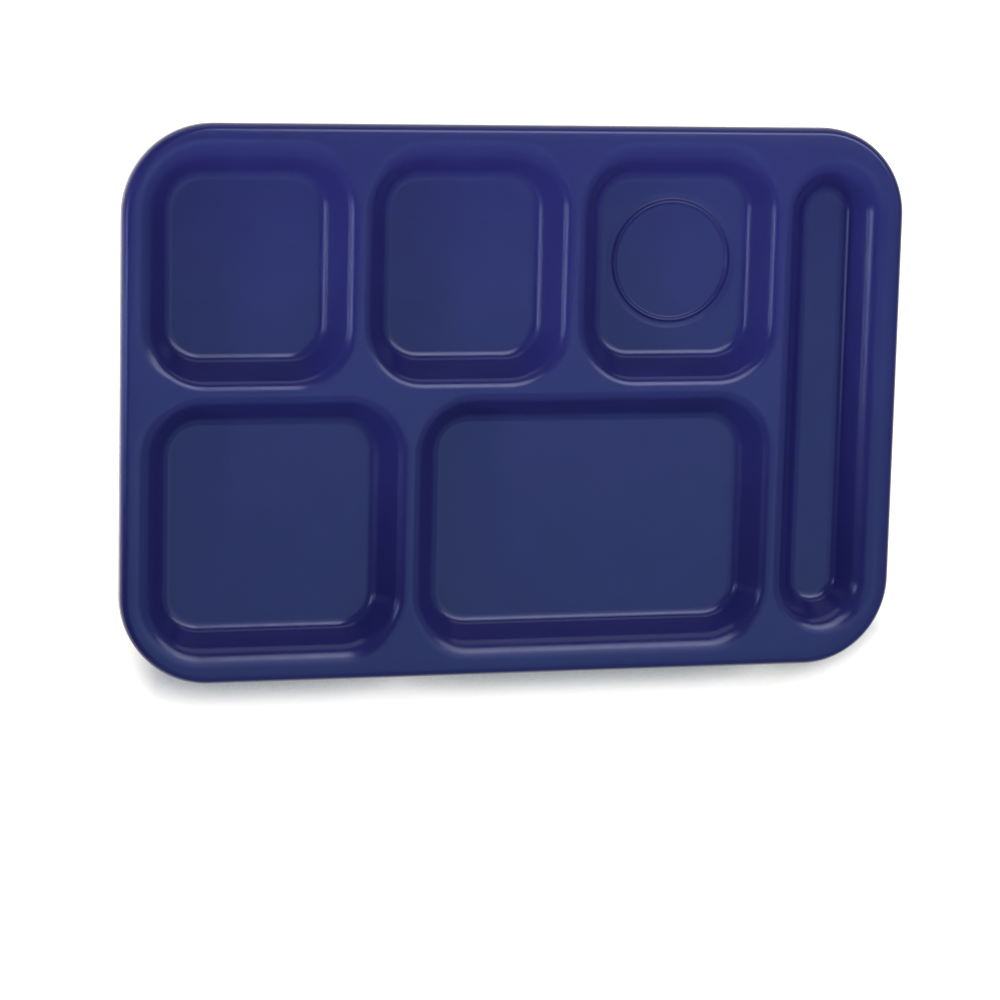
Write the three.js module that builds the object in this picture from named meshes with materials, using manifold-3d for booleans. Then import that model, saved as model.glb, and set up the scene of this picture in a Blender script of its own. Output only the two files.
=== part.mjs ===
// Six-compartment meal tray: one plastic moulding with an even wall, lying flat on a table.
// Millimetres, +Z up. The origin is on the table under the middle of the tray.
// +X runs along its length to the side of the cutlery slot, and +Y to its far long side.
import * as THREE from "three";
import { mergeVertices } from "three/addons/utils/BufferGeometryUtils.js";
import Module from "manifold-3d";

// Overall
const LENGTH = 368.3;
const WIDTH = 254;
const OUTER_CORNER = 41;
const WALL = 2.5;

// Rim: it falls a little from the pockets to a roll, which turns down into a short skirt
const RIM_FALL = 0.2;
const ROLL_RADIUS = 3.6;
const ROLL_START = THREE.MathUtils.degToRad(2.5);
const SKIRT_DROP = 8.5;

// Pocket layout, between the edges of the pockets' mouths
const MARGIN_LEFT = 11.8;
const MARGIN_RIGHT = 14;
const MARGIN_FAR = 13;
const MARGIN_NEAR = 13.3;
const WEB = 8.4;
const ROW_WEB = 8;
const SLOT_WEB = 8;
const FAR_ROW_WIDTH = 103.8;
const FAR_ROW_COUNT = 3;
const SQUARE_POCKET_LENGTH = 117.1;
const SLOT_WIDTH = 41.2;
const SLOT_MARGIN = 19.2;

// Pocket section: level floor, round inner corner, sloping wall, round lip
const POCKET_DEPTH = 15.5;
const WALL_TILT = THREE.MathUtils.degToRad(58);
const FLOOR_RADIUS = 6.5;
const LIP_RADIUS = 7;
const POCKET_CORNER = 26;

// Cup ring: a raised bead round a shallow dish in the floor of the last far pocket
const RING_RADIUS = 27.5;
const RING_WIDTH = 3.2;
const RING_HEIGHT = 0.8;
const RING_SHIFT = 2;
const DISH_DEPTH = 0.35;
const DISH_SLOPE_WIDTH = 3.2;

// Stacking lugs under the rim, where the webs meet it
const LUG_DIAMETER = 8;
const LUG_DROP = 4;
const LUG_INSET = 15;

// Facets
const POCKET_CORNER_STEPS = 6;
const OUTER_CORNER_STEPS = 10;
const INSIDE_ARC_STEPS = 5;
const UNDERSIDE_ARC_STEPS = 3;
const ROLL_STEPS = 6;
const EDGE_STEPS = 2;
const RING_STEPS = 48;
const LUG_STEPS = 16;

// How far a cutting solid stands past the face that it cuts, and a joined one into its carrier
const CUT_OVERRUN = 2;
const JOIN_DEPTH = WALL / 2;

const TRAY_COLOUR = 0x2c3468;
const TRAY_ROUGHNESS = 0.42;

const QUARTER_TURN = Math.PI / 2;
const FLOOR = WALL;
const FIELD = FLOOR + POCKET_DEPTH;
const ROLL_REACH = ROLL_RADIUS * (1 - Math.sin(ROLL_START));

const wasm = await Module();
wasm.setup();

// Pocket mouths as edges x0, x1, y0, y1, with the sides that face the rim
const left = MARGIN_LEFT - LENGTH / 2;
const right = LENGTH / 2 - MARGIN_RIGHT;
const far = WIDTH / 2 - MARGIN_FAR;
const near = MARGIN_NEAR - WIDTH / 2;
const farRowNear = far - FAR_ROW_WIDTH;
const nearRowFar = farRowNear - ROW_WEB;
const slotLeft = right - SLOT_WIDTH;
const farRowRight = slotLeft - SLOT_WEB;
const smallLength = (farRowRight - left - (FAR_ROW_COUNT - 1) * WEB) / FAR_ROW_COUNT;
const squareRight = left + SQUARE_POCKET_LENGTH;
const largeLeft = squareRight + WEB;
const largeRight = slotLeft - WEB;

const smallPockets = Array.from({ length: FAR_ROW_COUNT }, (_, k) => {
  const x0 = left + k * (smallLength + WEB);
  return { x0, x1: x0 + smallLength, y0: farRowNear, y1: far, rimSides: k === 0 ? ["far", "left"] : ["far"] };
});
const squarePocket = { x0: left, x1: squareRight, y0: near, y1: nearRowFar, rimSides: ["left", "near"] };
const largePocket = { x0: largeLeft, x1: largeRight, y0: near, y1: nearRowFar, rimSides: ["near"] };
const slotEnd = WIDTH / 2 - SLOT_MARGIN;
const slot = { x0: slotLeft, x1: right, y0: -slotEnd, y1: slotEnd, rimSides: ["right"] };
const pockets = [...smallPockets, squarePocket, largePocket, slot];
const cupPocket = smallPockets[FAR_ROW_COUNT - 1];

// The slope of the rim's top face on each side, from the pockets' mouths down to the roll
const margins = { right: MARGIN_RIGHT, far: MARGIN_FAR, left: MARGIN_LEFT, near: MARGIN_NEAR };
const SIDES = ["right", "far", "left", "near"];
const rimTilt = (side) => Math.atan2(-RIM_FALL, margins[side] - ROLL_REACH);

// A rounded rectangle, counter-clockwise, as points with their outward directions.
// Each point also has the tilt of the top face there, turning from one side's to the next in a corner.
function roundedPath({ x0, x1, y0, y1, rimSides = [] }, corner, steps) {
  const radius = Math.min(corner, (x1 - x0) / 2, (y1 - y0) / 2);
  const centres = [
    [x1 - radius, y1 - radius],
    [x0 + radius, y1 - radius],
    [x0 + radius, y0 + radius],
    [x1 - radius, y0 + radius],
  ];
  const tilts = SIDES.map((side) => (rimSides.includes(side) ? rimTilt(side) : 0));
  return centres.flatMap(([x, y], k) =>
    Array.from({ length: steps + 1 }, (_, j) => {
      const share = j / steps;
      const angle = (k + share) * QUARTER_TURN;
      const out = new THREE.Vector2(Math.cos(angle), Math.sin(angle));
      const at = new THREE.Vector2(x, y).addScaledVector(out, radius);
      return { at, out, tilt: THREE.MathUtils.lerp(tilts[k], tilts[(k + 1) % SIDES.length], share) };
    }),
  );
}

// A ring of points that lie a distance out from a path's points, at a height
const ringOf = (path, distance, height) =>
  path.map(({ at, out }) => {
    const { x, y } = at.clone().addScaledVector(out, distance);
    return new THREE.Vector3(x, y, height);
  });

// A closed solid through rings with equal numbers of points, from its lower cap to its upper cap
function loft(rings) {
  const count = rings[0].length;
  const points = rings.flat();
  const index = [];
  for (let k = 0; k + 1 < rings.length; k += 1) {
    for (let j = 0; j < count; j += 1) {
      const a = k * count + j;
      const b = k * count + ((j + 1) % count);
      index.push(a, b, b + count, a, b + count, a + count);
    }
  }
  const capStart = points.length - count;
  const outline = (start) => points.slice(start, start + count).map((p) => new THREE.Vector2(p.x, p.y));
  for (const [a, b, c] of THREE.ShapeUtils.triangulateShape(outline(0), [])) {
    index.push(a, c, b);
  }
  for (const [a, b, c] of THREE.ShapeUtils.triangulateShape(outline(capStart), [])) {
    index.push(capStart + a, capStart + b, capStart + c);
  }
  return new THREE.BufferGeometry().setFromPoints(points).setIndex(index);
}

// Points on an arc, as distance out and height, where angle 0 points out and a quarter turn points up
const arcPoints = (centre, radius, from, to, steps) =>
  Array.from({ length: steps + 1 }, (_, k) => {
    const angle = THREE.MathUtils.lerp(from, to, k / steps);
    return { out: centre.out + radius * Math.cos(angle), up: centre.up + radius * Math.sin(angle) };
  });

// The pocket's section from the floor to the top face, as distance out from the mouth's edge and height.
// The inside has no offset, and the underside is offset by the wall, on the same arc centres.
function pocketSection(tilt, offset, steps) {
  const run = POCKET_DEPTH / Math.tan(WALL_TILT);
  const floorCentre = { out: -run - FLOOR_RADIUS * Math.tan(WALL_TILT / 2), up: FLOOR + FLOOR_RADIUS };
  const lipScale = LIP_RADIUS / (1 + Math.cos(WALL_TILT - tilt));
  const lipCentre = {
    out: lipScale * (Math.sin(WALL_TILT) + Math.sin(tilt)),
    up: FIELD - lipScale * (Math.cos(WALL_TILT) + Math.cos(tilt)),
  };
  const floorArc = [floorCentre, FLOOR_RADIUS + offset, -QUARTER_TURN, WALL_TILT - QUARTER_TURN, steps];
  const lipArc = [lipCentre, LIP_RADIUS - offset, WALL_TILT + QUARTER_TURN, tilt + QUARTER_TURN, steps];
  return [...arcPoints(...floorArc), ...arcPoints(...lipArc)];
}

// The solid that a pocket's section sweeps round its mouth, closed at a height above the lip
function pocketSolid(pocket, offset, steps, closeHeight) {
  const path = roundedPath(pocket, POCKET_CORNER, POCKET_CORNER_STEPS);
  const sections = path.map(({ tilt }) => pocketSection(tilt, offset, steps));
  const rings = sections[0].map((_, k) =>
    path.map(({ at, out }, j) => {
      const { x, y } = at.clone().addScaledVector(out, sections[j][k].out);
      return new THREE.Vector3(x, y, sections[j][k].up);
    }),
  );
  const closing = rings[rings.length - 1].map((p) => new THREE.Vector3(p.x, p.y, closeHeight));
  return loft([...rings, closing]);
}

// The plate round and between the pockets, with the rim's roll and skirt, before the pockets are cut
function rimPlate() {
  const field = { x0: left, x1: right, y0: near, y1: far };
  const outline = { x0: -LENGTH / 2, x1: LENGTH / 2, y0: -WIDTH / 2, y1: WIDTH / 2 };
  const fieldPath = roundedPath(field, POCKET_CORNER, OUTER_CORNER_STEPS);
  const outerPath = roundedPath(outline, OUTER_CORNER, OUTER_CORNER_STEPS);
  const rollCentre = { out: -ROLL_RADIUS, up: FIELD - RIM_FALL - ROLL_RADIUS * Math.cos(ROLL_START) };
  const edgeCentre = { out: -WALL / 2, up: FIELD - SKIRT_DROP + WALL / 2 };
  const rollTurn = QUARTER_TURN - ROLL_START;
  const section = [
    ...arcPoints(rollCentre, ROLL_RADIUS - WALL, rollTurn, 0, ROLL_STEPS),
    ...arcPoints(edgeCentre, WALL / 2, Math.PI, 2 * Math.PI, 2 * EDGE_STEPS),
    ...arcPoints(rollCentre, ROLL_RADIUS, 0, rollTurn, ROLL_STEPS),
  ];
  return loft([
    ringOf(fieldPath, 0, FIELD - WALL),
    ...section.map(({ out, up }) => ringOf(outerPath, out, up)),
    ringOf(fieldPath, 0, FIELD),
  ]);
}

// A solid of revolution on a vertical axis at x, y
function turned(profile, steps, x, y) {
  const points = profile.map(([radius, height]) => new THREE.Vector2(radius, height));
  return new THREE.LatheGeometry(points, steps).rotateX(QUARTER_TURN).translate(x, y, 0);
}

const cupX = (cupPocket.x0 + cupPocket.x1) / 2;
const cupY = (cupPocket.y0 + cupPocket.y1) / 2 + RING_SHIFT;

// The shallow dish round the cup ring, as the solid that cuts it
function cupDish() {
  const dishFloor = FLOOR - DISH_DEPTH;
  const dishRadius = RING_RADIUS + RING_WIDTH / 2;
  const edgeRadius = dishRadius + DISH_SLOPE_WIDTH;
  const cutTop = FLOOR + CUT_OVERRUN;
  const profile = [[0, dishFloor], [dishRadius, dishFloor], [edgeRadius, FLOOR], [edgeRadius, cutTop], [0, cutTop]];
  return turned(profile, RING_STEPS, cupX, cupY);
}

// The bead that a cup stands within, half round in section and rooted in the floor
function cupRing() {
  const dishFloor = FLOOR - DISH_DEPTH;
  const half = RING_WIDTH / 2;
  const crown = Array.from({ length: 2 * EDGE_STEPS + 1 }, (_, k) => {
    const angle = (k / (2 * EDGE_STEPS)) * Math.PI;
    return [RING_RADIUS + half * Math.cos(angle), dishFloor + RING_HEIGHT * Math.sin(angle)];
  });
  const root = dishFloor - JOIN_DEPTH / 2;
  const profile = [[RING_RADIUS - half, root], [RING_RADIUS + half, root], ...crown, [RING_RADIUS - half, root]];
  return turned(profile, RING_STEPS, cupX, cupY);
}

// Lugs that hold a nested tray's rim clear of this one, so that stacked trays come apart and dry
function stackingLugs() {
  const farY = WIDTH / 2 - LUG_INSET;
  const lugTop = FIELD - WALL + JOIN_DEPTH;
  const height = LUG_DROP + JOIN_DEPTH;
  const places = [
    ...smallPockets.slice(1).map(({ x0 }) => [x0 - WEB / 2, farY]),
    [slotLeft - SLOT_WEB / 2, farY],
    [squareRight + WEB / 2, -farY],
    [largeRight + WEB / 2, -farY],
    [LUG_INSET - LENGTH / 2, (farRowNear + nearRowFar) / 2],
  ];
  return places.map(([x, y]) =>
    new THREE.CylinderGeometry(LUG_DIAMETER / 2, LUG_DIAMETER / 2, height, LUG_STEPS)
      .rotateX(QUARTER_TURN)
      .translate(x, y, lugTop - height / 2),
  );
}

// A closed geometry as a solid for joins and cuts
function solid(geometry) {
  const bare = geometry.clone();
  bare.deleteAttribute("normal");
  bare.deleteAttribute("uv");
  const merged = mergeVertices(bare);
  const vertProperties = merged.attributes.position.array;
  return new wasm.Manifold(
    new wasm.Mesh({ numProp: 3, vertProperties, triVerts: new Uint32Array(merged.index.array) }),
  );
}

// A solid as a geometry with flat faces
function geometryOf(body) {
  const { vertProperties, triVerts } = body.getMesh();
  const geometry = new THREE.BufferGeometry()
    .setAttribute("position", new THREE.BufferAttribute(vertProperties, 3))
    .setIndex(new THREE.BufferAttribute(triVerts, 1));
  geometry.computeVertexNormals();
  return geometry;
}

// The whole moulding: plate, pocket shells and lugs joined, pockets and dish cut, bead added
function moulding() {
  const shells = pockets.map((pocket) => pocketSolid(pocket, WALL, UNDERSIDE_ARC_STEPS, FIELD - JOIN_DEPTH));
  const hollows = pockets.map((pocket) => pocketSolid(pocket, 0, INSIDE_ARC_STEPS, FIELD + CUT_OVERRUN));
  let body = solid(rimPlate());
  for (const piece of [...shells, ...stackingLugs()]) {
    body = body.add(solid(piece));
  }
  for (const piece of [...hollows, cupDish()]) {
    body = body.subtract(solid(piece));
  }
  return geometryOf(body.add(solid(cupRing())));
}

const plastic = new THREE.MeshStandardMaterial({
  color: TRAY_COLOUR,
  roughness: TRAY_ROUGHNESS,
  metalness: 0,
});
const tray = new THREE.Mesh(moulding(), plastic);
tray.name = "tray";

const part = new THREE.Group();
part.add(tray);

export default part;
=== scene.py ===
import math
from typing import NamedTuple

import bpy
from mathutils import Matrix, Vector
from mathutils.geometry import delaunay_2d_cdt


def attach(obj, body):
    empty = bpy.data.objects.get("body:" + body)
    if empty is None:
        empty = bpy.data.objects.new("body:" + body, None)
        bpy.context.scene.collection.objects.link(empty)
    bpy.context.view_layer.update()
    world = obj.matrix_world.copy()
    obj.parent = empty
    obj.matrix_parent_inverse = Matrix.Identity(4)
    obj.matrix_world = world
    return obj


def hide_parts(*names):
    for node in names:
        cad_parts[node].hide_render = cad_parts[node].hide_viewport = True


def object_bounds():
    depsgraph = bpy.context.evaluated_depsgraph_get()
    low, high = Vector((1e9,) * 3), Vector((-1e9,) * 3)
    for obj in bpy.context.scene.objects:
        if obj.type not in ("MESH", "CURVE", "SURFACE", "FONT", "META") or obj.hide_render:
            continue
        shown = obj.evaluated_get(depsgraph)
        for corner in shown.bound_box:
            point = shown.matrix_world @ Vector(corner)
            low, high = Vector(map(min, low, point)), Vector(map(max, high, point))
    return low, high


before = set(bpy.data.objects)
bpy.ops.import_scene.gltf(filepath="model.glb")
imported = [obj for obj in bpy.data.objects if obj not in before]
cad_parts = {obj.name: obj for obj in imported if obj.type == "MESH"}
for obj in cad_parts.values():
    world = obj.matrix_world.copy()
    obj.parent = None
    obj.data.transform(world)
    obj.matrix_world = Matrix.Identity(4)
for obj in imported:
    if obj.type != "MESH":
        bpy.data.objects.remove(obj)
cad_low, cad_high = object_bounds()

# A six-compartment meal tray in satin blue plastic, lying flat. Metres, +Z up, in the frame of the solids.

# Overall sizes, from the solids
LENGTH = cad_high.x - cad_low.x
WIDTH = cad_high.y - cad_low.y
FIELD = cad_high.z

# Rim: it falls a little, ever more steeply, from the pockets to a roll, which turns down into a short skirt
WALL = 0.0025
OUTER_CORNER = 0.041
RIM_FALL = 0.0002
ROLL_RADIUS = 0.0036
ROLL_START = math.radians(2.5)
ROLL_REACH = ROLL_RADIUS * (1 - math.sin(ROLL_START))
SKIRT_DROP = 0.0085

# Pocket layout, between the edges of the pockets' mouths
MARGIN_LEFT = 0.0118
MARGIN_RIGHT = 0.0140
MARGIN_FAR = 0.0130
MARGIN_NEAR = 0.0133
WEB = 0.0084
ROW_WEB = 0.0080
SLOT_WEB = 0.0080
FAR_ROW_WIDTH = 0.1038
FAR_ROW_COUNT = 3
SQUARE_POCKET_LENGTH = 0.1171
SLOT_WIDTH = 0.0412
SLOT_MARGIN = 0.0192

# Pocket section: level floor, round inner corner, sloping wall, and a lip that is rounder along the rim
FLOOR = WALL
POCKET_DEPTH = FIELD - FLOOR
WALL_TILT = math.radians(58)
FLOOR_RADIUS = 0.0065
LIP_RADIUS = 0.007
RIM_LIP_RADIUS = 0.013
RIM_LIP_FADE = 0.012
POCKET_CORNER = 0.026

# Cup ring: a raised bead round a shallow dish in the floor of the last far pocket
RING_RADIUS = 0.0275
RING_WIDTH = 0.0032
RING_HEIGHT = 0.0008
RING_SHIFT = 0.002
DISH_DEPTH = 0.00035
DISH_SLOPE_WIDTH = 0.0032

# Stacking lugs under the rim
LUG_RADIUS = 0.004
LUG_DROP = 0.004
LUG_INSET = 0.015
LUG_BEVEL = 0.0005

# Fineness of the surface
CORNER_STEPS = 24
ARC_STEPS = 16
ROLL_STEPS = 16
EDGE_STEPS = 8
RING_STEPS = 144
BEAD_STEPS = 16
DISH_STEPS = 8
LUG_STEPS = 32
FLOOR_HEM = 0.0003
RIM_SPACING = 0.002
RIM_ROWS = 6
SAME_POINT = 1e-7


class Box(NamedTuple):
    """A rounded rectangle seen from above: its edges and its corner radius."""

    x0: float
    x1: float
    y0: float
    y1: float
    corner: float

    def inset(self, by):
        return Box(self.x0 + by, self.x1 - by, self.y0 + by, self.y1 - by, self.corner - by)


def layout():
    """The outline, the level field inside the rim, and the mouths of the six pockets."""
    left = MARGIN_LEFT - LENGTH / 2
    right = LENGTH / 2 - MARGIN_RIGHT
    far = WIDTH / 2 - MARGIN_FAR
    near = MARGIN_NEAR - WIDTH / 2
    far_row_near = far - FAR_ROW_WIDTH
    near_row_far = far_row_near - ROW_WEB
    slot_left = right - SLOT_WIDTH
    far_row_right = slot_left - SLOT_WEB
    small = (far_row_right - left - (FAR_ROW_COUNT - 1) * WEB) / FAR_ROW_COUNT
    square_right = left + SQUARE_POCKET_LENGTH
    slot_end = WIDTH / 2 - SLOT_MARGIN
    starts = [left + k * (small + WEB) for k in range(FAR_ROW_COUNT)]
    pockets = [Box(x, x + small, far_row_near, far, POCKET_CORNER) for x in starts]
    pockets.append(Box(left, square_right, near, near_row_far, POCKET_CORNER))
    pockets.append(Box(square_right + WEB, slot_left - WEB, near, near_row_far, POCKET_CORNER))
    pockets.append(Box(slot_left, right, -slot_end, slot_end, SLOT_WIDTH / 2))
    outline = Box(-LENGTH / 2, LENGTH / 2, -WIDTH / 2, WIDTH / 2, OUTER_CORNER)
    field = Box(left, right, near, far, POCKET_CORNER)
    return outline, field, pockets


OUTLINE, FIELD_BOX, POCKETS = layout()
ROLL_BOX = OUTLINE.inset(ROLL_REACH)
CUP_POCKET = POCKETS[FAR_ROW_COUNT - 1]


def rounded_path(box, steps):
    """Points and outward directions round a box, counter-clockwise."""
    r = box.corner
    centres = (
        (box.x1 - r, box.y1 - r),
        (box.x0 + r, box.y1 - r),
        (box.x0 + r, box.y0 + r),
        (box.x1 - r, box.y0 + r),
    )
    path = []
    for quarter, centre in enumerate(centres):
        for step in range(steps + 1):
            angle = (quarter + step / steps) * math.pi / 2
            out = Vector((math.cos(angle), math.sin(angle)))
            at = Vector(centre) + r * out
            if path and (at - path[-1][0]).length < SAME_POINT:
                continue
            path.append((at, out))
    return path


def box_distance(box, x, y):
    """How far a point lies outside a rounded rectangle, negative inside."""
    dx = abs(x - (box.x0 + box.x1) / 2) - (box.x1 - box.x0) / 2 + box.corner
    dy = abs(y - (box.y0 + box.y1) / 2) - (box.y1 - box.y0) / 2 + box.corner
    return math.hypot(max(dx, 0), max(dy, 0)) + min(max(dx, dy), 0) - box.corner


def top_height(x, y):
    """Height of the top face before the pockets sink into it: level, then falling to the roll."""
    out = box_distance(FIELD_BOX, x, y)
    if out <= 0:
        return FIELD
    to_roll = max(0, -box_distance(ROLL_BOX, x, y))
    return FIELD - RIM_FALL * (out / (out + to_roll)) ** 2


def underside_height(x, y):
    return top_height(x, y) - WALL


def lip_radius(x, y):
    """Radius of the lip at a point of a mouth's edge: rounder along the rim than along a web."""
    along_rim = min(1, max(0, 1 + box_distance(FIELD_BOX, x, y) / RIM_LIP_FADE))
    share = along_rim ** 2 * (3 - 2 * along_rim)
    return LIP_RADIUS + share * (RIM_LIP_RADIUS - LIP_RADIUS)


def lip_reach(radius):
    """How far a lip runs out from the mouth's edge."""
    return radius * math.tan(WALL_TILT / 2)


def lip_distance(pocket, x, y):
    """How far a point lies outside the lip of a pocket, negative inside."""
    r = pocket.corner
    middle = Vector((
        min(max(x, pocket.x0 + r), pocket.x1 - r),
        min(max(y, pocket.y0 + r), pocket.y1 - r),
    ))
    away = Vector((x, y)) - middle
    edge = middle + r * away.normalized()
    return away.length - r - lip_reach(lip_radius(*edge))


def pocket_section(offset, radius):
    """Distance out from the mouth's edge and height, from the floor to the end of a lip of some radius.
    The inside has no offset, and the underside is offset by the wall on the same arc centres."""
    run = POCKET_DEPTH / math.tan(WALL_TILT)
    floor_out = -run - FLOOR_RADIUS * math.tan(WALL_TILT / 2)
    angles = [WALL_TILT * k / ARC_STEPS for k in range(ARC_STEPS + 1)]
    low = FLOOR_RADIUS + offset
    high = radius - offset
    reach = lip_reach(radius)
    corner_up = FLOOR + FLOOR_RADIUS
    lip_up = FIELD - radius
    hem = [(floor_out - FLOOR_HEM, FLOOR - offset)]
    inner_corner = [(floor_out + low * math.sin(a), corner_up - low * math.cos(a)) for a in angles]
    lip = [(reach - high * math.sin(a), lip_up + high * math.cos(a)) for a in reversed(angles)]
    return hem + inner_corner + lip


class Skin:
    """A mesh in the making. Faces between two rings look up where the second ring lies further out."""

    def __init__(self):
        self.points = []
        self.faces = []

    def ring(self, points):
        first = len(self.points)
        self.points.extend(points)
        return list(range(first, len(self.points)))

    def bands(self, rings):
        for ring, further in zip(rings, rings[1:]):
            for j, at in enumerate(ring):
                after = (j + 1) % len(ring)
                self.faces.append((at, further[j], further[after], ring[after]))

    def cap(self, ring, up):
        self.faces.append(tuple(ring if up else reversed(ring)))

    def fill(self, loops, inside, up, loose=()):
        """Triangles between loops, and over loose points among them, where inside holds at their middle."""
        ids = [k for loop in loops for k in loop]
        edges = []
        for loop in loops:
            first = len(edges)
            edges.extend((first + j, first + (j + 1) % len(loop)) for j in range(len(loop)))
        ids.extend(self.ring(loose))
        flat = [Vector(self.points[k][:2]) for k in ids]
        places, _, triangles, sources, _, _ = delaunay_2d_cdt(flat, edges, [], 0, SAME_POINT)
        for triangle in triangles:
            middle = sum((places[k] for k in triangle), Vector((0, 0))) / 3
            if inside(*middle):
                corners = [ids[sources[k][0]] for k in triangle]
                self.faces.append(tuple(corners if up else reversed(corners)))

    def build(self, name):
        mesh = bpy.data.meshes.new(name)
        mesh.from_pydata(self.points, [], self.faces)
        mesh.validate()
        mesh.polygons.foreach_set("use_smooth", [True] * len(mesh.polygons))
        piece = bpy.data.objects.new(name, mesh)
        bpy.context.scene.collection.objects.link(piece)
        return piece


def pocket_rings(skin, pocket, offset):
    columns = []
    for at, direction in rounded_path(pocket, CORNER_STEPS):
        column = []
        for out, up in pocket_section(offset, lip_radius(*at)):
            x, y = at + out * direction
            column.append((x, y, up + top_height(x, y) - FIELD))
        columns.append(column)
    return [skin.ring(ring) for ring in zip(*columns)]


def rim_rings(skin):
    """From the top face over the roll, round the skirt's lower edge and back under the top face."""
    path = rounded_path(OUTLINE, CORNER_STEPS)
    turn = math.pi / 2 - ROLL_START
    roll_angles = [turn * (1 - k / ROLL_STEPS) for k in range(ROLL_STEPS + 1)]
    edge_angles = [-math.pi * k / EDGE_STEPS for k in range(EDGE_STEPS + 1)]
    roll_up = FIELD - RIM_FALL - ROLL_RADIUS * math.cos(ROLL_START)
    edge_up = FIELD - SKIRT_DROP + WALL / 2
    inner = ROLL_RADIUS - WALL
    under_angles = roll_angles[::-1]
    roll = [(ROLL_RADIUS * (math.cos(a) - 1), roll_up + ROLL_RADIUS * math.sin(a)) for a in roll_angles]
    edge = [(WALL / 2 * (math.cos(a) - 1), edge_up + WALL / 2 * math.sin(a)) for a in edge_angles]
    under = [(inner * math.cos(a) - ROLL_RADIUS, roll_up + inner * math.sin(a)) for a in under_angles]
    rings = []
    for out, up in roll + edge + under:
        rings.append(skin.ring([(*(at + out * direction), up) for at, direction in path]))
    return rings


def rim_points():
    """Rows of points over the falling rim, between the pockets' lips and the roll."""
    points = []
    inner = [at for at, _ in rounded_path(FIELD_BOX, CORNER_STEPS)]
    outer = [at for at, _ in rounded_path(ROLL_BOX, CORNER_STEPS)]
    for k, at in enumerate(inner):
        after = (k + 1) % len(inner)
        count = max(1, round((inner[after] - at).length / RIM_SPACING))
        for step in range(count):
            low = at.lerp(inner[after], step / count)
            high = outer[k].lerp(outer[after], step / count)
            for row in range(RIM_ROWS):
                x, y = low.lerp(high, row / RIM_ROWS)
                if all(lip_distance(pocket, x, y) > RIM_SPACING / 2 for pocket in POCKETS):
                    points.append((x, y))
    return points


def on_field(x, y):
    """Between the rim's roll and the pockets' lips."""
    return box_distance(ROLL_BOX, x, y) < 0 and all(lip_distance(pocket, x, y) > 0 for pocket in POCKETS)


def circle(centre, radius, steps, up):
    turns = [2 * math.pi * k / steps for k in range(steps)]
    return [(centre.x + radius * math.cos(a), centre.y + radius * math.sin(a), up) for a in turns]


def cup_floor(skin, floor_ring):
    """The floor of the cup's pocket, with its bead and shallow dish."""
    middle_x = (CUP_POCKET.x0 + CUP_POCKET.x1) / 2
    middle_y = (CUP_POCKET.y0 + CUP_POCKET.y1) / 2
    centre = Vector((middle_x, middle_y + RING_SHIFT))
    dish_floor = FLOOR - DISH_DEPTH
    half = RING_WIDTH / 2
    section = [(RING_RADIUS - half - FLOOR_HEM, dish_floor)]
    for k in range(BEAD_STEPS + 1):
        across = 2 * k / BEAD_STEPS - 1
        bead = RING_HEIGHT * (1 + math.cos(math.pi * across)) / 2
        section.append((RING_RADIUS + half * across, dish_floor + bead))
    for k in range(1, DISH_STEPS + 1):
        share = k / DISH_STEPS
        rise = DISH_DEPTH * (3 - 2 * share) * share ** 2
        section.append((RING_RADIUS + half + DISH_SLOPE_WIDTH * share, dish_floor + rise))
    rings = [skin.ring(circle(centre, radius, RING_STEPS, up)) for radius, up in section]
    dish_edge = section[-1][0] * math.cos(math.pi / RING_STEPS)
    skin.cap(rings[0], up=True)
    skin.bands(rings)

    def on_floor(x, y):
        outside_dish = math.hypot(x - centre.x, y - centre.y) > dish_edge
        return outside_dish and box_distance(CUP_POCKET, x, y) < 0

    skin.fill([floor_ring, rings[-1]], on_floor, up=True)


def lug_centres():
    far = WIDTH / 2 - LUG_INSET
    small = POCKETS[:FAR_ROW_COUNT]
    square, large, slot = POCKETS[FAR_ROW_COUNT:]
    centres = [Vector((pocket.x0 - WEB / 2, far)) for pocket in small[1:]]
    centres.append(Vector((slot.x0 - SLOT_WEB / 2, far)))
    centres.append(Vector((square.x1 + WEB / 2, -far)))
    centres.append(Vector((large.x1 + WEB / 2, -far)))
    centres.append(Vector((LUG_INSET - LENGTH / 2, (small[0].y0 + square.y1) / 2)))
    return centres


def stacking_lug(skin, centre):
    """A short peg under the rim. Returns the loop where it meets the underside."""
    low = FIELD - WALL - LUG_DROP
    root = [(x, y, underside_height(x, y)) for x, y, _ in circle(centre, LUG_RADIUS, LUG_STEPS, 0)]
    rings = [
        skin.ring(root),
        skin.ring(circle(centre, LUG_RADIUS, LUG_STEPS, low + LUG_BEVEL)),
        skin.ring(circle(centre, LUG_RADIUS - LUG_BEVEL, LUG_STEPS, low)),
    ]
    skin.bands(rings)
    skin.cap(rings[-1], up=False)
    return rings[0]


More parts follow.
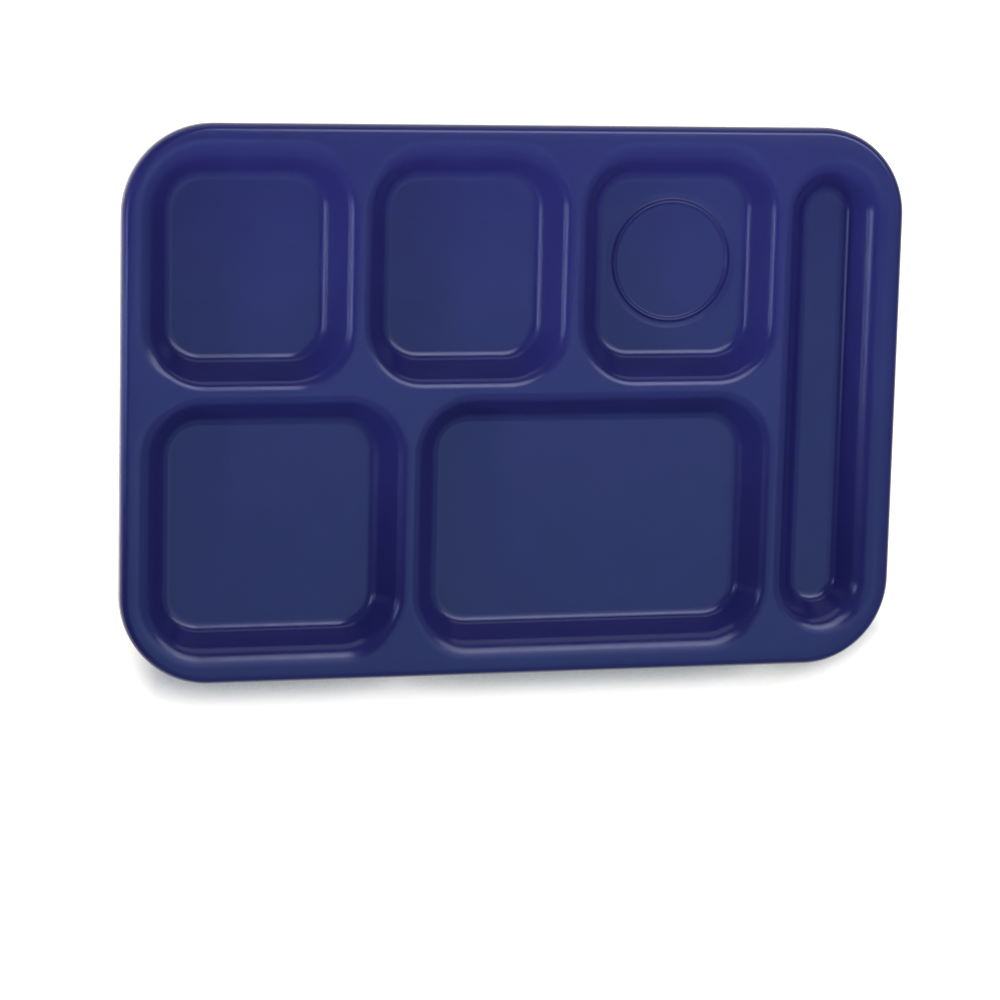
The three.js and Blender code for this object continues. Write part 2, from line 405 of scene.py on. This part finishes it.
def tray_skin():
    """The whole moulding as one closed surface."""
    skin = Skin()
    rim = rim_rings(skin)
    skin.bands(rim)
    mouths = []
    under_mouths = []
    for pocket in POCKETS:
        inside = pocket_rings(skin, pocket, 0)
        underside = pocket_rings(skin, pocket, WALL)
        skin.bands(inside)
        skin.bands(underside[::-1])
        skin.cap(underside[0], up=False)
        if pocket is CUP_POCKET:
            cup_floor(skin, inside[0])
        else:
            skin.cap(inside[0], up=True)
        mouths.append(inside[-1])
        under_mouths.append(underside[-1])
    rows = rim_points()
    skin.fill([rim[0], *mouths], on_field, True, [(x, y, top_height(x, y)) for x, y in rows])
    centres = lug_centres()
    lugs = [stacking_lug(skin, centre) for centre in centres]

    def clear_of_lugs(x, y, radius):
        return all(math.hypot(x - c.x, y - c.y) > radius for c in centres)

    def on_underside(x, y):
        lug_edge = LUG_RADIUS * math.cos(math.pi / LUG_STEPS)
        return clear_of_lugs(x, y, lug_edge) and on_field(x, y)

    row_gap = LUG_RADIUS + RIM_SPACING / 4
    low_rows = [(x, y, underside_height(x, y)) for x, y in rows if clear_of_lugs(x, y, row_gap)]
    skin.fill([rim[-1], *under_mouths, *lugs], on_underside, False, low_rows)
    return skin


# Plastic. Colours are linear, here and below
PLASTIC_DARK = (0.0210, 0.0190, 0.128, 1)
PLASTIC_LIGHT = (0.0240, 0.0215, 0.143, 1)
PLASTIC_IOR = 1.49
ROUGHNESS_LOW = 0.17
ROUGHNESS_HIGH = 0.25
NOISE_LOW = 0.3
NOISE_HIGH = 0.7
CLOUDS = {"Scale": 28, "Detail": 5, "Roughness": 0.6}
MOTTLE = {"Scale": 160, "Detail": 4, "Roughness": 0.55}
WAVES = {"Scale": 22, "Detail": 1, "Roughness": 0.4}
GRAIN = {"Scale": 2600, "Detail": 2, "Roughness": 0.5}
WAVE_BUMP = {"Strength": 0.25, "Distance": 0.0004}
GRAIN_BUMP = {"Strength": 0.05, "Distance": 0.00005}


def add_node(tree, kind, **inputs):
    """A new node with some inputs set, named with _ for each space."""
    node = tree.nodes.new(kind)
    for name, value in inputs.items():
        node.inputs[name.replace("_", " ")].default_value = value
    return node


def noise(tree, place, settings):
    """The value of a noise texture at a place."""
    texture = add_node(tree, "ShaderNodeTexNoise", **settings)
    tree.links.new(place, texture.inputs["Vector"])
    return texture.outputs["Fac"]


def bump(tree, height, settings):
    """A bump node that follows a height."""
    node = add_node(tree, "ShaderNodeBump", **settings)
    tree.links.new(height, node.inputs["Height"])
    return node


def tray_plastic():
    """Satin moulded plastic: faint clouding in the colour and gloss, a fine grain and a slow waviness."""
    material = bpy.data.materials.new("tray_plastic")
    material.use_nodes = True
    tree = material.node_tree
    link = tree.links.new
    shader = tree.nodes["Principled BSDF"]
    shader.inputs["IOR"].default_value = PLASTIC_IOR
    place = tree.nodes.new("ShaderNodeTexCoord").outputs["Object"]

    tint = tree.nodes.new("ShaderNodeValToRGB")
    tint.color_ramp.elements[0].color = PLASTIC_DARK
    tint.color_ramp.elements[0].position = NOISE_LOW
    tint.color_ramp.elements[1].color = PLASTIC_LIGHT
    tint.color_ramp.elements[1].position = NOISE_HIGH
    link(noise(tree, place, CLOUDS), tint.inputs["Fac"])
    link(tint.outputs["Color"], shader.inputs["Base Color"])

    gloss = add_node(
        tree, "ShaderNodeMapRange",
        From_Min=NOISE_LOW, From_Max=NOISE_HIGH, To_Min=ROUGHNESS_LOW, To_Max=ROUGHNESS_HIGH,
    )
    link(noise(tree, place, MOTTLE), gloss.inputs["Value"])
    link(gloss.outputs["Result"], shader.inputs["Roughness"])

    slow = bump(tree, noise(tree, place, WAVES), WAVE_BUMP)
    fine = bump(tree, noise(tree, place, GRAIN), GRAIN_BUMP)
    link(slow.outputs["Normal"], fine.inputs["Normal"])
    link(fine.outputs["Normal"], shader.inputs["Normal"])
    return material


# Floor: lifted to white, but not under the tray, nor along the near side, where a painted shadow deepens
# the real shade
FLOOR_SIZE = 12
FLOOR_COLOUR = (0.62, 0.62, 0.62, 1)
FLOOR_ROUGHNESS = 0.9
FLOOR_LIFT_COLOUR = (1.0, 0.93, 0.86, 1)
FLOOR_GAP = 0.00005
SHADE_REACH = 0.03
SHADE_SAMPLES = 4
SHADE_DEPTH = 5
SHADE_FADE_Y = (-0.12, -0.10)
SHADE_FADE_X = (-0.155, -0.185)
UNDER_FADE = (0.024, 0.001)


def soft_step(tree, value, limits):
    """Rises smoothly from 0 to 1 as a value passes from one limit to the other."""
    step = add_node(tree, "ShaderNodeMapRange", From_Min=limits[0], From_Max=limits[1])
    step.interpolation_type = "SMOOTHSTEP"
    tree.links.new(value, step.inputs["Value"])
    return step.outputs["Result"]


def arithmetic(tree, operation, first, second):
    """The result of a math operation on two values, each a socket or a number."""
    node = tree.nodes.new("ShaderNodeMath")
    node.operation = operation
    for socket, value in zip(node.inputs, (first, second)):
        if isinstance(value, (int, float)):
            socket.default_value = value
        else:
            tree.links.new(value, socket)
    return node.outputs["Value"]


def beyond_tray(tree, place):
    """0 on the floor under the tray, and 1 from just inside its outline outwards."""
    straight = (LENGTH / 2 - OUTER_CORNER, WIDTH / 2 - OUTER_CORNER, 0)
    steps = (("ABSOLUTE", None), ("SUBTRACT", straight), ("MAXIMUM", (0, 0, 0)), ("LENGTH", None))
    for operation, other in steps:
        node = tree.nodes.new("ShaderNodeVectorMath")
        node.operation = operation
        tree.links.new(place, node.inputs[0])
        if other:
            node.inputs[1].default_value = other
        place = next(socket for socket in node.outputs if socket.enabled)
    return soft_step(tree, place, [OUTER_CORNER - inside for inside in UNDER_FADE])


def floor_lift(tree):
    """The floor's lift, which fades out under the tray, and along the near side where an occlusion mask
    cuts it to paint a shadow.
    """
    place = tree.nodes.new("ShaderNodeTexCoord").outputs["Object"]
    cover = add_node(tree, "ShaderNodeAmbientOcclusion", Distance=SHADE_REACH)
    cover.samples = SHADE_SAMPLES
    # Painted shadow: on the near side the lift is cut where occlusion is high, darker than the lamps alone
    # make it
    shade = arithmetic(tree, "POWER", cover.outputs["AO"], SHADE_DEPTH)
    apart = tree.nodes.new("ShaderNodeSeparateXYZ")
    tree.links.new(place, apart.inputs["Vector"])
    outside_painted_shadow = arithmetic(tree, "MAXIMUM", shade, soft_step(tree, apart.outputs["Y"], SHADE_FADE_Y))
    outside_painted_shadow = arithmetic(tree, "MAXIMUM", outside_painted_shadow, soft_step(tree, apart.outputs["X"], SHADE_FADE_X))
    return arithmetic(tree, "MULTIPLY", outside_painted_shadow, beyond_tray(tree, place))


def pale_floor():
    """A plain pale surface just under the tray that reads white, and takes the tray's real shadow, deepened
    along the near side by a painted shadow.
    """
    bpy.ops.mesh.primitive_plane_add(size=FLOOR_SIZE, location=(0, 0, cad_low.z - FLOOR_GAP))
    floor = bpy.context.object
    floor.name = "floor"
    material = bpy.data.materials.new("pale_floor")
    material.use_nodes = True
    tree = material.node_tree
    shader = tree.nodes["Principled BSDF"]
    shader.inputs["Base Color"].default_value = FLOOR_COLOUR
    shader.inputs["Roughness"].default_value = FLOOR_ROUGHNESS
    shader.inputs["Emission Color"].default_value = FLOOR_LIFT_COLOUR
    rays = tree.nodes.new("ShaderNodeLightPath")
    seen = arithmetic(tree, "MAXIMUM", rays.outputs["Is Camera Ray"], rays.outputs["Is Glossy Ray"])
    lift = arithmetic(tree, "MULTIPLY", seen, floor_lift(tree))
    tree.links.new(lift, shader.inputs["Emission Strength"])
    floor.data.materials.append(material)


# Air: an even light, and a glow to the near right and high on the far side that only reflections show
AMBIENT_COLOUR = (0.85, 0.97, 1.0, 1)
AMBIENT_STRENGTH = 0.36
MIRRORED_COLOUR = (0.42, 0.74, 1.0, 1)
MIRRORED_PLACE = 0.5
AMBIENT_MIRRORED = 0.12
GLOW_MIRRORED = 0.45
GLOW_ASIDE = (0.15, 0.55)
GLOW_HEIGHT = (-0.2, 0.45)
FAR_GLOW = 2.3
FAR_GLOW_COLOUR = (0.62, 0.68, 1.0, 1)
FAR_GLOW_AHEAD = (-0.14, 0.44)
FAR_GLOW_ASIDE = (0.0, 0.2)
FAR_GLOW_HEIGHT = (0.65, 0.8)


def mirrored_air(tree):
    """How bright the air shows in the plastic, and the share of the glow that lies high on the far side.
    It is brighter to the near right, fading down to the horizon."""
    link = tree.links.new
    toward = tree.nodes.new("ShaderNodeSeparateXYZ")
    link(tree.nodes.new("ShaderNodeTexCoord").outputs["Generated"], toward.inputs["Vector"])
    near_right = arithmetic(tree, "SUBTRACT", toward.outputs["X"], toward.outputs["Y"])
    aside = soft_step(tree, near_right, GLOW_ASIDE)
    glow = arithmetic(tree, "MULTIPLY", aside, soft_step(tree, toward.outputs["Z"], GLOW_HEIGHT))
    level = add_node(tree, "ShaderNodeMapRange", To_Min=AMBIENT_MIRRORED, To_Max=GLOW_MIRRORED)
    link(glow, level.inputs["Value"])
    far = soft_step(tree, toward.outputs["Y"], FAR_GLOW_AHEAD)
    far = arithmetic(tree, "MULTIPLY", far, soft_step(tree, toward.outputs["X"], FAR_GLOW_ASIDE))
    far = arithmetic(tree, "MULTIPLY", far, soft_step(tree, toward.outputs["Z"], FAR_GLOW_HEIGHT))
    far_level = arithmetic(tree, "MULTIPLY", far, FAR_GLOW)
    strength = arithmetic(tree, "ADD", level.outputs["Result"], far_level)
    return strength, far


def studio_air():
    """Even light from all round, which shows in the plastic's reflections with a soft glow to one side."""
    world = bpy.data.worlds.new("studio_air")
    bpy.context.scene.world = world
    world.use_nodes = True
    tree = world.node_tree
    link = tree.links.new
    background = tree.nodes["Background"]
    mirrored = tree.nodes.new("ShaderNodeLightPath").outputs["Is Glossy Ray"]
    tint = tree.nodes.new("ShaderNodeValToRGB")
    tint.color_ramp.elements[0].color = AMBIENT_COLOUR
    tint.color_ramp.elements[1].color = FAR_GLOW_COLOUR
    tint.color_ramp.elements.new(MIRRORED_PLACE).color = MIRRORED_COLOUR
    strength, far = mirrored_air(tree)
    place = add_node(tree, "ShaderNodeMapRange", To_Min=MIRRORED_PLACE)
    link(far, place.inputs["Value"])
    link(arithmetic(tree, "MULTIPLY", mirrored, place.outputs["Result"]), tint.inputs["Fac"])
    link(tint.outputs["Color"], background.inputs["Color"])
    level = add_node(tree, "ShaderNodeMapRange", To_Min=AMBIENT_STRENGTH)
    link(mirrored, level.inputs["Value"])
    link(strength, level.inputs["To Max"])
    link(level.outputs["Result"], background.inputs["Strength"])


# Lamps: their tints and how far their light spreads
NEUTRAL = (0.95, 0.94, 1.0)
COOL = (0.42, 0.74, 1.0)
STRIP = (0.76, 0.80, 1.0)
SKY = (0.45, 0.55, 1.0)
AQUA = (0.86, 1.10, 0.98)
WIDE = math.pi
NEAR_FILL_SPREAD = math.radians(4.5)
LEFT_FILL_SPREAD = math.radians(10)


def softbox(name, place, aim, size, radiance, tint, spread=WIDE, mirrored=True, lighting=True):
    """A rectangular lamp of a given brightness, turned towards a point.
    A fill isn't mirrored in the plastic, and a backdrop is only mirrored."""
    lamp = bpy.data.lights.new(name, "AREA")
    lamp.shape = "RECTANGLE"
    lamp.size, lamp.size_y = size
    lamp.energy = radiance * math.pi * size[0] * size[1]
    lamp.color = tint
    lamp.spread = spread
    holder = bpy.data.objects.new(name, lamp)
    holder.location = place
    holder.rotation_euler = (Vector(aim) - Vector(place)).to_track_quat("-Z", "Y").to_euler()
    holder.visible_camera = False
    holder.visible_glossy = mirrored
    holder.visible_diffuse = lighting
    bpy.context.scene.collection.objects.link(holder)


def lamps():
    """A panel overhead, a strip and a backdrop on the far side, two windows on the left, and two fills."""
    softbox(
        "top_panel", place=(0.15, -0.225, 0.92), aim=(0.15, -0.225, 0),
        size=(0.86, 0.45), radiance=0.61, tint=COOL,
    )
    softbox(
        "far_strip", place=(0.39, 0.34, 0.58), aim=(0.39, 0, 0),
        size=(0.80, 0.27), radiance=3.1, tint=STRIP,
    )
    softbox(
        "far_backdrop", place=(0.3, 1.3, 0.34), aim=(0.3, 0, 0.1),
        size=(1.8, 0.6), radiance=0.9, tint=STRIP, lighting=False,
    )
    softbox(
        "left_window", place=(-0.66, 0.0, 0.46), aim=(0, 0, 0),
        size=(0.20, 0.22), radiance=4.5, tint=SKY,
    )
    softbox(
        "left_low_window", place=(-0.85, -0.06, 0.16), aim=(0, -0.06, 0.02),
        size=(0.16, 0.26), radiance=2.2, tint=SKY,
    )
    softbox(
        "near_fill", place=(0.0, -1.1, 0.48), aim=(-0.03, 0.17, 0),
        size=(0.4, 0.06), radiance=0.55, tint=NEUTRAL, spread=NEAR_FILL_SPREAD, mirrored=False,
    )
    softbox(
        "left_fill", place=(-1.0, 0.02, 0.35), aim=(0.02, 0.07, 0),
        size=(0.2, 0.2), radiance=0.55, tint=AQUA, spread=LEFT_FILL_SPREAD, mirrored=False,
    )


# Camera: its turn, distance and aim, and the lens length as a multiple of the sensor's width
CAMERA_YAW = math.radians(15.236)
CAMERA_PITCH = math.radians(9.494)
CAMERA_ROLL = math.radians(-1.371)
CAMERA_DISTANCE = 1.5896
CAMERA_ASIDE = (0.00967, 0.04406)
LENS_TO_FRAME = 3.4675
SENSOR = 36
CLIP_END = 100


def photo_camera():
    """Looks down from the left of the tray's far side, with the tray a little above the frame's middle."""
    data = bpy.data.cameras.new("camera")
    data.sensor_width = SENSOR
    data.lens = LENS_TO_FRAME * SENSOR
    data.clip_end = CLIP_END
    turn = (
        Matrix.Rotation(CAMERA_ROLL, 3, "Z")
        @ Matrix.Rotation(CAMERA_PITCH, 3, "X")
        @ Matrix.Rotation(CAMERA_YAW, 3, "Y")
    )
    back = turn.transposed()
    centre = Vector((0, 0, FIELD))
    camera = bpy.data.objects.new("camera", data)
    place = centre - back @ Vector((CAMERA_ASIDE[0], CAMERA_ASIDE[1], -CAMERA_DISTANCE))
    camera.matrix_world = Matrix.Translation(place) @ back.to_4x4()
    bpy.context.scene.collection.objects.link(camera)
    bpy.context.scene.camera = camera


def main():
    bpy.context.scene.view_settings.view_transform = "Standard"
    tray = tray_skin().build("tray_shell")
    tray.data.materials.append(tray_plastic())
    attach(tray, "root")
    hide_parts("tray")
    pale_floor()
    studio_air()
    lamps()
    photo_camera()


main()
